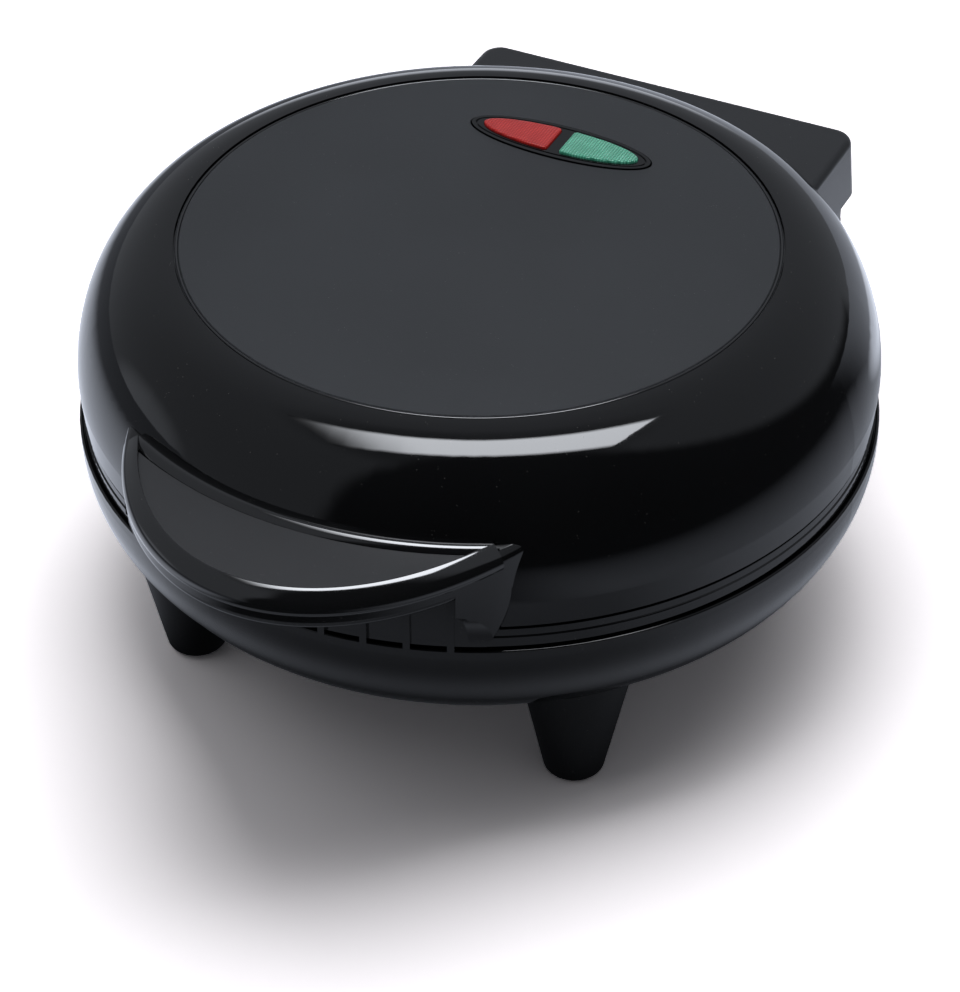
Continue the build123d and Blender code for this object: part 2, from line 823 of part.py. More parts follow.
def handle_lip():
    """The thin raised lip round the handle's plateau."""
    line = handle_crescent(handle_lip_inset)
    line -= handle_crescent(handle_lip_inset + handle_lip_width)
    lip = Pos(0, 0, handle_plateau - rib_root) * extrude(line, handle_lip_height + rib_root)
    crest = [e for e in lip.edges() if e.bounding_box().min.Z > handle_top - 0.01]
    return fillet(crest, handle_lip_rounding)


def cheek_flare():
    """What the handle's end cheeks leave free where they sweep in to the skirt."""
    foot = (skirt_radius, handle_foot - 1)
    top = (cheek_flare_radius, handle_under)
    middle = ((foot[0] + top[0]) / 2 - cheek_flare_bulge, (foot[1] + top[1]) / 2 + cheek_flare_bulge)
    far = handle_length - handle_centre + 1
    sweep_line = ThreePointArc(foot, middle, top)
    return turned(sweep_line, Polyline(top, (far, handle_under), (far, foot[1]), foot))


def plateau_dome_radius():
    """The dome's radius at the height of the handle's plateau."""
    rise = (handle_top - widest_height) / (cover_height - widest_height)
    return panel_seat_radius + (cover_radius - panel_seat_radius) * sqrt(1 - rise ** 2)


def is_front_edge(edge, height):
    """Whether an edge lies level on the handle's rounded front, at a height."""
    box = edge.bounding_box()
    level = abs(box.min.Z - height) < 0.01 and abs(box.max.Z - height) < 0.01
    middle = edge.position_at(0.5)
    place = (middle.X / handle_half_width) ** 2 + ((middle.Y - handle_centre) / handle_length) ** 2
    return level and abs(place - 1) < 0.01


def make_top_panel():
    """The satin disc with the hole for the indicator bezel."""
    face = panel_radius - panel_rim_width
    rim_top = panel_top - panel_rim_drop
    disc = turned(Polyline((0, panel_seat + seat_gap), (panel_radius, panel_seat + seat_gap),
                           (panel_radius, rim_top), (face, rim_top), (face, panel_top - panel_edge_chamfer),
                           (face - panel_edge_chamfer, panel_top), (0, panel_top), close=True))
    hole = Ellipse(bezel_half_length + bezel_groove, bezel_half_width + bezel_groove)
    return disc - Pos(0, window_along, panel_seat - 1) * extrude(hole, panel_thickness + 2)


def window_outline(side, grow):
    """One of the two pointed window outlines, grown by an even amount."""
    oval = Ellipse(window_half_length + grow, window_half_width + grow)
    near = window_web / 2 - grow
    half = Rectangle(2 * window_half_length, 4 * window_half_width)
    outline = oval & Pos(side * (near + window_half_length), 0) * half
    corners = [v for v in outline.vertices() if abs(abs(v.X) - near) < 0.01]
    return fillet(corners, window_corner)


def bezel_oval(inset):
    """The bezel's oval, drawn in by an even amount."""
    return Ellipse(bezel_half_length - inset, bezel_half_width - inset)


def make_bezel():
    """The oval frame round the two indicator lenses."""
    top = panel_top + bezel_stand
    bottom = top - bezel_depth
    frame = Pos(0, 0, panel_seat + seat_gap) * extrude(bezel_oval(0), top - panel_seat - seat_gap)
    frame += Pos(0, 0, bottom) * extrude(bezel_oval(bezel_step), bezel_depth - 1)
    for side in (-1, 1):
        frame -= Pos(0, 0, bottom - 1) * extrude(window_outline(side, 0), bezel_depth + 2)
    line = bezel_oval(bezel_line_inset) - bezel_oval(bezel_line_inset + bezel_line_width)
    frame -= Pos(0, 0, top - bezel_line_depth) * extrude(line, 2 * bezel_line_depth)
    return Pos(0, window_along, 0) * frame


def make_lens(side):
    """One indicator lens: a pointed prism with a flange under the bezel."""
    bezel_bottom = panel_top + bezel_stand - bezel_depth
    top = panel_top + bezel_stand + lens_stand
    prism = Pos(0, 0, bezel_bottom - lens_flange_thickness) * extrude(
        window_outline(side, -lens_gap), top - bezel_bottom + lens_flange_thickness)
    rim = [e for e in prism.edges() if abs(e.bounding_box().min.Z - top) < 0.01]
    prism = fillet(rim, lens_rounding)
    flange = Pos(0, 0, bezel_bottom - seat_gap - lens_flange_thickness) * extrude(
        window_outline(side, lens_flange), lens_flange_thickness)
    return Pos(0, window_along, 0) * (prism + flange)


def make_lamp(side):
    """A neon lamp lying under a lens."""
    tube = Cylinder(lamp_radius, lamp_length - lamp_radius)
    tip = Pos(0, 0, (lamp_length - lamp_radius) / 2) * Sphere(lamp_radius)
    lamp = Rot(0, side * 90, 0) * (tube + tip)
    return Pos(side * lamp_across, window_along, lamp_height) * lamp


def make_lamp_holder():
    """The moulded strip that carries both lamps on the dome's two posts."""
    half = holder_length / 2
    low = holder_top - holder_thickness
    strip = block((-half, window_along - holder_width / 2, low),
                  (half, window_along + holder_width / 2, holder_top - seat_gap))
    for side in (-1, 1):
        middle = side * lamp_across
        cheek_reach = lamp_radius + holder_cheek_wall
        strip += block((middle - lamp_length / 4, window_along - cheek_reach, low),
                       (middle + lamp_length / 4, window_along + cheek_reach, lamp_height))
        strip -= Pos(middle, window_along, lamp_height) * Rot(0, 90, 0) * Cylinder(
            lamp_radius + seat_gap, lamp_length)
        clear = screw_radius + screw_hole_gap
        strip -= post(side * holder_post_across, window_along, clear, low - 1, holder_top + 1)
    upward = Rot(180, 0, 0) * pan_screw(holder_screw_bite)
    screws = [Pos(side * holder_post_across, window_along, low) * upward for side in (-1, 1)]
    return strip, screws


def rounded_block(half_width, back, low, high, corner, draft_width=0):
    """A block behind the bowl with two rounded corners at its back, wider at its foot by a draft."""
    foot = half_width + draft_width
    outline = Polyline((-foot, low), (foot, low), (half_width, high), (-half_width, high), close=True)
    body = extrude(Plane.XZ * make_face(outline), -back)
    body -= block((-lip_radius, 0, low - 1), (lip_radius, tower_front, high + 1))
    uprights = [e for e in body.edges() if e.position_at(0.5).Y > back - 0.01
                and e.bounding_box().size.Z > (high - low) / 2]
    return fillet(uprights, corner)


def across_post(radius, low, high):
    """A cylinder along X round the hinge axis."""
    return Pos(low, hinge_along, hinge_height) * Rot(0, 90, 0) * Cylinder(
        radius, high - low, align=(Align.CENTER, Align.CENTER, Align.MIN))


def make_hood():
    """The flat-topped rear cover of the lid, with the two lugs on the hinge pin."""
    outside = rounded_block(hood_half_width, hood_back, hood_foot, hood_top, hood_corner, hood_draft)
    rim = [e for e in outside.edges() if e.bounding_box().min.Z > hood_top - 0.01
           and e.position_at(0.5).Y > tower_front + 1]
    outside = fillet(rim, hood_edge)
    inside = rounded_block(hood_half_width - hood_wall, hood_inside_back, hood_foot - 1,
                           hood_inside_top, hood_corner - hood_wall, hood_draft)
    hood = outside - inside
    lug_outer = hood_half_width
    lug_inner = hood_half_width - hood_wall - lug_width
    for side in (-1, 1):
        low, high = sorted((side * lug_inner, side * lug_outer))
        web = block((low, hinge_along - ear_radius, hinge_height),
                    (high, hood_inside_back + hood_wall / 2, hood_inside_top + hood_wall / 2))
        low, high = sorted((side * lug_inner, side * pin_room))
        hood += across_post(ear_radius, low, high) + (web & outside)
    for x in (-hood_screw_across, hood_screw_across):
        boss_end = lip_radius + hood_boss_reach
        boss = level_post(x, hood_screw_height, hood_boss_radius, lip_radius / 2, boss_end)
        rib = block((x - hood_wall / 2, lip_radius / 2, hood_screw_height),
                    (x + hood_wall / 2, lip_radius + hood_boss_reach, hood_inside_top + hood_wall / 2))
        hood += boss + rib
    hood -= cover_form(seat_gap, hood_foot - 10)
    for x in (-hood_screw_across, hood_screw_across):
        bore_end = cover_radius + screw_bite - 1
        hood -= level_post(x, hood_screw_height, screw_radius, lip_radius / 2, bore_end)
    reach = hood_half_width - hood_wall
    return hood - across_post(pin_radius + pin_fit, -reach, reach)


def make_hood_screws():
    """The two screws that hold the hood from inside the dome."""
    bite = cover_radius - hood_screw_start() + screw_bite - 2
    return [Pos(x, hood_screw_start(), hood_screw_height) * Rot(90, 0, 0) * pan_screw(bite)
            for x in (-hood_screw_across, hood_screw_across)]


def make_hinge_pin():
    """The steel rod through both ears and both lugs."""
    reach = pin_room - pin_end_gap
    return across_post(pin_radius, -reach, reach)


def make_tower():
    """The rear block of the base: side cheeks, deck, two hinge ears and the cord's way in."""
    cheek_top = hood_foot - running_gap
    outside = rounded_block(hood_half_width, tower_back, tower_foot, cheek_top, hood_corner)
    foot_edges = [e for e in outside.edges() if e.bounding_box().max.Z < tower_foot + 0.01
                  and e.position_at(0.5).Y > tower_front + 1]
    outside = fillet(foot_edges, tower_foot_rounding)
    cheek_back = hinge_along - opened_clearance
    outside -= block((-lip_radius, cheek_back, tower_deck), (lip_radius, hood_back, cheek_top + 1))
    trough = block((-hood_half_width + tower_wall, 0, tower_deck),
                   (hood_half_width - tower_wall, hood_back, cheek_top + 1))
    hollow = rounded_block(hood_half_width - tower_wall, tower_back - tower_wall,
                           tower_foot + tower_wall, tower_deck - tower_wall,
                           hood_corner - tower_wall)
    tower = outside - trough - hollow
    ear_top = hinge_height + ear_arm_rise
    for side in (-1, 1):
        low, high = side * ear_across - ear_width / 2, side * ear_across + ear_width / 2
        arm = block((low, cheek_back - ear_arm_length, tower_deck - 1), (high, cheek_back, ear_top))
        tower += arm + across_post(ear_radius, low, high)
    for x in (-tower_screw_across, tower_screw_across):
        boss_end = lip_radius + tower_boss_reach
        boss = level_post(x, tower_screw_height, hood_boss_radius, lip_radius / 2, boss_end)
        rib = block((x - tower_wall / 2, lip_radius / 2, tower_foot + 1),
                    (x + tower_wall / 2, boss_end, tower_screw_height))
        tower += (boss + rib) & outside
    tower -= bowl_form(seat_gap, parting_height + cover_height)
    for x in (-tower_screw_across, tower_screw_across):
        bore_end = lip_radius + screw_bite
        tower -= level_post(x, tower_screw_height, screw_radius, lip_radius / 2, bore_end)
    for x, y in rear_leg_places:
        tower -= post(x, y, screw_radius + screw_hole_gap, tower_foot - 1, tower_foot + tower_wall + 1)
    tower -= level_post(0, gland_height, gland_radius, tower_back - 2 * tower_wall, tower_back + 1)
    reach = hood_half_width
    return tower - across_post(pin_radius + pin_fit, -reach, reach)


def make_tower_screws():
    """The two screws that hold the tower from inside the bowl."""
    screws = []
    for x in (-tower_screw_across, tower_screw_across):
        start = tower_screw_start(x)
        bite = lip_radius + screw_bite - 2 - start
        screws.append(Pos(x, start, tower_screw_height) * Rot(90, 0, 0) * pan_screw(bite))
    return screws


def make_gland():
    """The soft bush in the tower's back, where the cord would leave."""
    radius = gland_radius - seat_gap
    lip = gland_radius + gland_flange
    inner = tower_back - tower_wall - seat_gap
    outer = tower_back + seat_gap
    near = inner - gland_flange_thickness
    far = outer + gland_flange_thickness
    bush = level_post(0, gland_height, radius, near, far)
    bush += level_post(0, gland_height, lip, near, inner)
    bush += level_post(0, gland_height, lip, outer, far)
    return bush - level_post(0, gland_height, gland_bore, tower_foot, hood_back)


def make_terminal_block():
    """The block on the bowl's floor where the cord's wires would end."""
    half = terminal_length / 2
    body = block((-half, terminal_along, bowl_floor + seat_gap),
                 (half, terminal_along + terminal_width, bowl_floor + terminal_height))
    pitch = terminal_length / terminal_ways
    for i in range(terminal_ways):
        x = (i - (terminal_ways - 1) / 2) * pitch
        body -= level_post(x, bowl_floor + terminal_height / 2, pitch / 4, terminal_along - 1,
                           terminal_along + terminal_width + 1)
    return body


def make_leg_screws():
    """The screws that hold the legs from inside the bowl and the hinge tower."""
    front = [Pos(x, y, leg_seat_height) * pan_screw(shell_wall + leg_screw_bite - 1)
             for x, y in front_leg_places]
    rear = [Pos(x, y, tower_foot + tower_wall) * pan_screw(tower_wall + leg_screw_bite - 1)
            for x, y in rear_leg_places]
    return front + rear


def make_thermostat():
    """The disc thermostat on the back of the upper plate's middle cup, and its screws."""
    back = plate_land + upper_well_depth + cup_wall + seat_gap
    ear = back + thermostat_boss_height
    cap_top = back + thermostat_cap_height
    body = post(0, 0, thermostat_cap_radius, back, cap_top)
    body += post(0, 0, thermostat_cap_radius - 1, cap_top, cap_top + thermostat_body_height)
    ear_end = thermostat_ear_reach + thermostat_boss_radius
    strip = SlotOverall(2 * ear_end, 2 * thermostat_boss_radius)
    body += Pos(0, 0, ear) * extrude(strip, clamp_thickness)
    screws = []
    for side in (-1, 1):
        x = side * thermostat_ear_reach
        body -= post(x, 0, screw_radius + screw_hole_gap, ear - 1, ear + clamp_thickness + 1)
        tab = cap_top + thermostat_body_height
        body += Pos(side * thermostat_tab_across, 0, tab + thermostat_tab_length / 2 - 1) * Box(
            thermostat_tab_thickness, thermostat_tab_width, thermostat_tab_length + 2)
        screws.append(Pos(x, 0, ear + clamp_thickness) * pan_screw(thermostat_boss_height + 1))
    return body, screws


def make_thermal_fuse():
    """The thermal fuse on the back of the lower plate's middle cup, its clip and its screw."""
    back = plate_land + lower_well_depth + cup_wall
    middle = back + fuse_radius + seat_gap
    fuse = Pos(0, 0, middle) * Rot(0, 90, 0) * Cylinder(fuse_radius, fuse_length)
    leads = Cylinder(fuse_lead_radius, fuse_length + 2 * fuse_lead_length)
    fuse += Pos(0, 0, middle) * Rot(0, 90, 0) * leads
    clip = Rot(0, 0, 90) * strap(fuse_radius, fuse_clip_reach, thermostat_boss_radius)
    clip = Pos(0, 0, middle) * clip
    far_foot = -fuse_radius - clamp_slack - clamp_thickness - 0.5
    clip -= block((-clamp_width, -2 * clamp_width, 0), (clamp_width, far_foot, 2 * shield_depth))
    clip -= post(0, fuse_clip_reach, screw_radius + screw_hole_gap, back, back + 3 * fuse_radius)
    seat = middle + clamp_thickness
    screw = Pos(0, fuse_clip_reach, seat) * pan_screw(fuse_radius + 1)
    return fuse, clip, screw


def build():
    """Every node by name."""
    nodes = {}
    nodes["lower_housing"], housing_screws = make_lower_housing()
    nodes["housing_screws"] = joined(housing_screws)
    for side, front, rear in zip(("left", "right"), front_leg_places, rear_leg_places):
        nodes[f"front_{side}_leg"] = make_front_leg(*front)
        nodes[f"rear_{side}_leg"] = make_rear_leg(*rear)
    nodes["leg_screws"] = joined(make_leg_screws())
    nodes["leg_pads"] = joined([make_pad(x, y) for x, y in front_leg_places + rear_leg_places])
    nodes["hinge_tower"] = make_tower()
    nodes["tower_screws"] = joined(make_tower_screws())
    nodes["hinge_pin"] = make_hinge_pin()
    nodes["cord_gland"] = make_gland()
    nodes["terminal_block"] = make_terminal_block()
    clamps, clamp_screws = make_clamps()
    nodes["lower_trim_ring"] = into_base(make_lower_trim_ring())
    nodes["lower_cooking_plate"] = into_base(make_cooking_plate(lower_well_depth, False))
    nodes["lower_heating_element"] = into_base(make_element())
    nodes["lower_element_clamps"] = joined([into_base(c) for c in clamps])
    nodes["lower_clamp_screws"] = joined([into_base(s) for s in clamp_screws])
    nodes["lower_heat_shield"] = into_base(make_heat_shield(False))
    fuse, clip, fuse_screw = make_thermal_fuse()
    nodes["thermal_fuse"] = into_base(fuse)
    nodes["fuse_clip"] = into_base(clip)
    nodes["fuse_clip_screw"] = into_base(fuse_screw)

    nodes["upper_cover"], cover_screws = make_upper_cover()
    nodes["cover_screws"] = joined(cover_screws)
    nodes["upper_trim_ring"] = into_lid(make_upper_trim_ring())
    nodes["lid_handle"] = make_handle()
    nodes["handle_screws"] = joined(make_handle_screws())
    nodes["top_panel"] = make_top_panel()
    nodes["indicator_bezel"] = make_bezel()
    nodes["red_lens"] = make_lens(-1)
    nodes["green_lens"] = make_lens(1)
    nodes["red_lamp"] = make_lamp(-1)
    nodes["green_lamp"] = make_lamp(1)
    nodes["lamp_holder"], holder_screws = make_lamp_holder()
    nodes["lamp_holder_screws"] = joined(holder_screws)
    nodes["hinge_hood"] = make_hood()
    nodes["hood_screws"] = joined(make_hood_screws())
    nodes["upper_cooking_plate"] = into_lid(make_cooking_plate(upper_well_depth, True))
    nodes["upper_heating_element"] = into_lid(make_element())
    nodes["upper_element_clamps"] = joined([into_lid(c) for c in clamps])
    nodes["upper_clamp_screws"] = joined([into_lid(s) for s in clamp_screws])
    nodes["upper_heat_shield"] = into_lid(make_heat_shield(True))
    thermostat, thermostat_screws = make_thermostat()
    nodes["thermostat"] = into_lid(thermostat)
    nodes["thermostat_screws"] = joined([into_lid(s) for s in thermostat_screws])
    return nodes


front_reach = handle_length - handle_centre
footprint_middle = (hood_back - front_reach) / 2
os.makedirs("parts", exist_ok=True)
for name, shape in build().items():
    placed = [Pos(0, -footprint_middle, 0) * solid for solid in shape.solids()]
    export_step(placed[0] if len(placed) == 1 else joined(placed), f"parts/{name}.step")
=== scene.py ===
"""The look of a round countertop pancake maker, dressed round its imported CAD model."""
import bpy
import bmesh
import json
import math
from mathutils import Matrix, Vector


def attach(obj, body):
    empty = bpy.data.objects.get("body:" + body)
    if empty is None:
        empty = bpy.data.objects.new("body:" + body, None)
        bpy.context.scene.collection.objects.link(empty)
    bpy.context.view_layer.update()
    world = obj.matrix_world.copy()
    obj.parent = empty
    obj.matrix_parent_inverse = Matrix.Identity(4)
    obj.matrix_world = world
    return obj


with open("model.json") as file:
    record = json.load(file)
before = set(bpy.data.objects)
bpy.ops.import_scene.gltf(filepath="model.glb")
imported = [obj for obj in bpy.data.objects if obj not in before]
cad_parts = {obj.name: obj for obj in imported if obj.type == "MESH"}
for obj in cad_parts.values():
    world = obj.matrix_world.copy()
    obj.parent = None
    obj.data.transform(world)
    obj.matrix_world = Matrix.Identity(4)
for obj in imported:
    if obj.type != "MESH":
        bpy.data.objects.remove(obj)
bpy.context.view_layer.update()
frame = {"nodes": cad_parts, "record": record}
nodes = frame["nodes"]
scene = bpy.context.scene
scene.view_settings.view_transform = "Standard"

# The camera's place, from the photograph's vanishing lines
TARGET = Vector((0.0, 0.00375, 0.0537))
CAMERA_AZIMUTH = 26.11
CAMERA_ELEVATION = 37.0
CAMERA_DISTANCE = 0.9275
CAMERA_ROLL = -0.16
LENS = 123.27
CAMERA_SHIFT_X = 0.0004
CAMERA_SHIFT_Y = -0.0746

# Sizes of the solids that the looks follow
BODY_AXIS_Y = 0.00375
HANDLE_CENTRE_Y = -0.0401 + BODY_AXIS_Y
HANDLE_HALF_WIDTH = 0.0648
HANDLE_LENGTH = 0.0954
DOME_AT_PLATEAU = 0.1040

WHITE = (1.0, 1.0, 1.0)


def direction(azimuth, elevation):
    """A unit vector: azimuth 0 points to the front, 90 to the right."""
    a, e = math.radians(azimuth), math.radians(elevation)
    return Vector((math.sin(a) * math.cos(e), -math.cos(a) * math.cos(e), math.sin(e)))


def make_camera():
    """The photograph's camera."""
    data = bpy.data.cameras.new("camera")
    data.lens = LENS
    data.sensor_width = 36.0
    data.shift_x = CAMERA_SHIFT_X
    data.shift_y = CAMERA_SHIFT_Y
    data.clip_start = 0.02
    data.clip_end = 20.0
    camera = bpy.data.objects.new("camera", data)
    scene.collection.objects.link(camera)
    back = direction(CAMERA_AZIMUTH, CAMERA_ELEVATION)
    turn = (-back).to_track_quat("-Z", "Y").to_matrix().to_4x4()
    roll = Matrix.Rotation(math.radians(CAMERA_ROLL), 4, "Z")
    camera.matrix_world = Matrix.Translation(TARGET + back * CAMERA_DISTANCE) @ turn @ roll
    scene.camera = camera


# Node tree helpers

def new_material(name):
    """An empty node material."""
    material = bpy.data.materials.new(name)
    material.use_nodes = True
    material.node_tree.nodes.clear()
    return material


def add(tree, kind, **values):
    """A node whose settings and input values are given by name."""
    node = tree.nodes.new(kind)
    for key, value in values.items():
        if key in node.bl_rna.properties:
            setattr(node, key, value)
        else:
            node.inputs[key.replace("_", " ")].default_value = value
    return node


def link(tree, output, to):
    """A link between two sockets."""
    tree.links.new(output, to)


def maths(tree, operation, a, b=None, clamp=False):
    """A Math node over sockets or numbers; gives its output."""
    node = add(tree, "ShaderNodeMath", operation=operation, use_clamp=clamp)
    for i, value in enumerate((a, b)):
        if value is None:
            continue
        if isinstance(value, (int, float)):
            node.inputs[i].default_value = value
        else:
            link(tree, value, node.inputs[i])
    return node.outputs[0]


def smooth(tree, value, low, high, to_low=0.0, to_high=1.0):
    """A smooth step of a value between two limits."""
    node = add(tree, "ShaderNodeMapRange", interpolation_type="SMOOTHSTEP")
    link(tree, value, node.inputs["Value"])
    node.inputs["From Min"].default_value = low
    node.inputs["From Max"].default_value = high
    node.inputs["To Min"].default_value = to_low
    node.inputs["To Max"].default_value = to_high
    return node.outputs["Result"]


def measured(tree, operation, vector, other=None):
    """A number measured on a vector socket: its length, or its distance from or dot product with another."""
    node = add(tree, "ShaderNodeVectorMath", operation=operation)
    link(tree, vector, node.inputs[0])
    if other is not None:
        node.inputs[1].default_value = other
    return node.outputs["Value"]


def scaled(tree, vector, scale):
    """A vector socket times a number's socket."""
    node = add(tree, "ShaderNodeVectorMath", operation="SCALE")
    link(tree, vector, node.inputs[0])
    link(tree, scale, node.inputs["Scale"])
    return node.outputs[0]


def object_place(tree):
    """The place on a piece, in the object's own metres."""
    return add(tree, "ShaderNodeTexCoord").outputs["Object"]


def split_axes(tree, vector):
    """The X, Y and Z sockets of a vector."""
    node = add(tree, "ShaderNodeSeparateXYZ")
    link(tree, vector, node.inputs[0])
    return node.outputs["X"], node.outputs["Y"], node.outputs["Z"]


def coloured(tree, kind, colour, strength=None):
    """A shader node of one colour."""
    shader = add(tree, kind)
    shader.inputs["Color"].default_value = (*colour, 1.0)
    if strength is not None:
        shader.inputs["Strength"].default_value = strength
    return shader


def mixed_shaders(tree, factor, first, second):
    """A mix of two shader nodes, or of a mix and a shader."""
    mix = add(tree, "ShaderNodeMixShader")
    link(tree, factor, mix.inputs["Fac"])
    link(tree, first.outputs[0], mix.inputs[1])
    link(tree, second.outputs[0], mix.inputs[2])
    return mix


def by_ray(tree, soft, mirrored, shown):
    """One shader for soft light, one for mirrors and one for the camera."""
    path = add(tree, "ShaderNodeLightPath")
    by_gloss = mixed_shaders(tree, path.outputs["Is Glossy Ray"], soft, mirrored)
    return mixed_shaders(tree, path.outputs["Is Camera Ray"], by_gloss, shown)


# The studio

DARK_SIDE = 0.03
WALL_GREY = 0.33
BACK_WHITE = 1.5
SIDE_WHITE = 0.35
ROOM_LIGHT = 0.085
ROOM_TINT = (0.97, 0.98, 1.0)
ROOM_MIRROR_TINT = (0.91, 0.96, 1.06)


def make_world():
    """Soft grey walls, a dark side in front, and pure white for the camera."""
    world = bpy.data.worlds.new("studio")
    scene.world = world
    world.use_nodes = True
    tree = world.node_tree
    tree.nodes.clear()
    looking = add(tree, "ShaderNodeTexCoord").outputs["Generated"]

    def patch(azimuth, elevation, low, high, to_low=0.0, to_high=1.0):
        """A soft-edged part of the room about a direction; the limits are cosines."""
        facing = measured(tree, "DOT_PRODUCT", looking, direction(azimuth, elevation))
        return smooth(tree, facing, low, high, to_low, to_high)

    right_wall = patch(155, 45, 0.68, 0.82)
    left_wall = maths(tree, "ADD", patch(-108, 0, -0.14, 0.02, 0.0, 0.80),
                      patch(-165, 15, 0.35, 0.90, 0.0, 0.20))
    walls = maths(tree, "MAXIMUM", right_wall, left_wall)
    below_ceiling = patch(0, 90, 0.84, 0.95, 1.0, 0.55)
    grey = smooth(tree, maths(tree, "MULTIPLY", walls, below_ceiling), 0.0, 1.0, DARK_SIDE, WALL_GREY)
    behind = patch(-154, -4, 0.955, 0.992, 0.0, BACK_WHITE)
    beside = patch(-75, -4, 0.94, 0.99, 0.0, SIDE_WHITE)
    mirrored = coloured(tree, "ShaderNodeBackground", ROOM_MIRROR_TINT)
    link(tree, maths(tree, "ADD", grey, maths(tree, "ADD", behind, beside)), mirrored.inputs["Strength"])
    soft = coloured(tree, "ShaderNodeBackground", ROOM_TINT, ROOM_LIGHT)
    shown = coloured(tree, "ShaderNodeBackground", WHITE, 1.0)
    out = add(tree, "ShaderNodeOutputWorld")
    link(tree, by_ray(tree, soft, mirrored, shown).outputs[0], out.inputs["Surface"])


# Place, size and watts of each lamp; together they give the photograph's soft shadow
LAMPS = {
    "soft_overhead": ((-0.05, 0.05, 0.75), 0.5, 1.80),
    "soft_back_right": ((0.15, 0.30, 1.10), 0.9, 2.56),
    "soft_back_left": ((-0.5, 1.0, 0.8), 0.9, 1.12),
    "soft_front_left": ((-0.40, -0.30, 1.05), 0.9, 1.04),
}


def make_lamps():
    """Soft square lamps, all aimed at the object, that show in no mirror."""
    for name, (place, size, watts) in LAMPS.items():
        data = bpy.data.lights.new(name, "AREA")
        data.shape = "SQUARE"
        data.size = size
        data.energy = watts
        lamp = bpy.data.objects.new(name, data)
        scene.collection.objects.link(lamp)
        away = (TARGET - Vector(place)).normalized()
        lamp.rotation_mode = "QUATERNION"
        lamp.rotation_quaternion = away.to_track_quat("-Z", "Y")
        lamp.location = place
        lamp.visible_camera = False
        lamp.visible_glossy = False


def staged_card(name, shape, material):
    """A flat piece of the studio from a bmesh, left out of the part."""
    mesh = bpy.data.meshes.new(name)
    shape.to_mesh(mesh)
    shape.free()
    mesh.materials.append(material)
    card = bpy.data.objects.new(name, mesh)
    scene.collection.objects.link(card)
    return card


STRIP_HEIGHT = 1.0
STRIP_LENGTH = 0.87
STRIP_DEPTH = 0.385
STRIP_TO_LEFT = 0.025
STRIP_TO_FRONT = 0.034
STRIP_POWER = 12.0
STRIP_TINT = (0.94, 0.97, 1.03)


def make_strip():
    """The long overhead softbox that only mirrors show, brighter towards its right end."""
    shape = bmesh.new()
    bmesh.ops.create_grid(shape, x_segments=1, y_segments=1, size=0.5)
    bmesh.ops.scale(shape, verts=shape.verts, vec=(STRIP_LENGTH, STRIP_DEPTH, 1.0))
    bmesh.ops.reverse_faces(shape, faces=shape.faces)
    turn = Matrix.Rotation(math.radians(CAMERA_AZIMUTH), 4, "Z")
    along, deep = turn @ Vector((1, 0, 0)), turn @ Vector((0, 1, 0))
    place = along * -STRIP_TO_LEFT - deep * STRIP_TO_FRONT
    place.z = STRIP_HEIGHT
    bmesh.ops.transform(shape, verts=shape.verts, matrix=Matrix.Translation(place) @ turn)
    material = new_material("softbox_cloth")
    tree = material.node_tree
    point = object_place(tree)
    run = maths(tree, "SUBTRACT", measured(tree, "DOT_PRODUCT", point, along), place.dot(along))
    depth = maths(tree, "SUBTRACT", measured(tree, "DOT_PRODUCT", point, deep), place.dot(deep))
    fade = smooth(tree, run, -0.5 * STRIP_LENGTH, -0.1 * STRIP_LENGTH, 0.03, 1.0)
    edge = smooth(tree, maths(tree, "ABSOLUTE", depth), 0.36 * STRIP_DEPTH, 0.5 * STRIP_DEPTH, 1.0, 0.25)
    glow = coloured(tree, "ShaderNodeEmission", STRIP_TINT)
    link(tree, maths(tree, "MULTIPLY", maths(tree, "MULTIPLY", fade, edge), STRIP_POWER),
         glow.inputs["Strength"])
    out = add(tree, "ShaderNodeOutputMaterial")
    link(tree, glow.outputs[0], out.inputs["Surface"])
    card = staged_card("overhead_strip", shape, material)
    card.visible_camera = False
    card.visible_diffuse = False
    card.visible_shadow = False
    card.visible_transmission = False


TABLE_REACH = 6.0
TABLE_GREY = (0.80, 0.80, 0.80)
TABLE_SHOWN = (2.5, 2.42, 2.5)
TABLE_MIRROR_TINT = (0.90, 0.96, 1.10)
TABLE_MIRROR_LEAST = 0.03
# How bright the glossy pieces see each part of the table: a painted reflection, with painted shade close to
# the object and a painted bright patch beside the hood
NEAR_GLOW = 0.37
RIGHT_GLOW = 0.44
LEFT_GLOW = 1.0
LEFT_FAR_GLOW = 0.15
BACK_GLOW = 0.6
# A painted bright patch on the table, which the hood's side mirrors as light
HOOD_SIDE_GLOW = 1.35
HOOD_SIDE_PLACE = (0.10, 0.24, 0.0)
# How much painted shade darkens the mirrored table in front of the object
FRONT_SHADE = 0.68


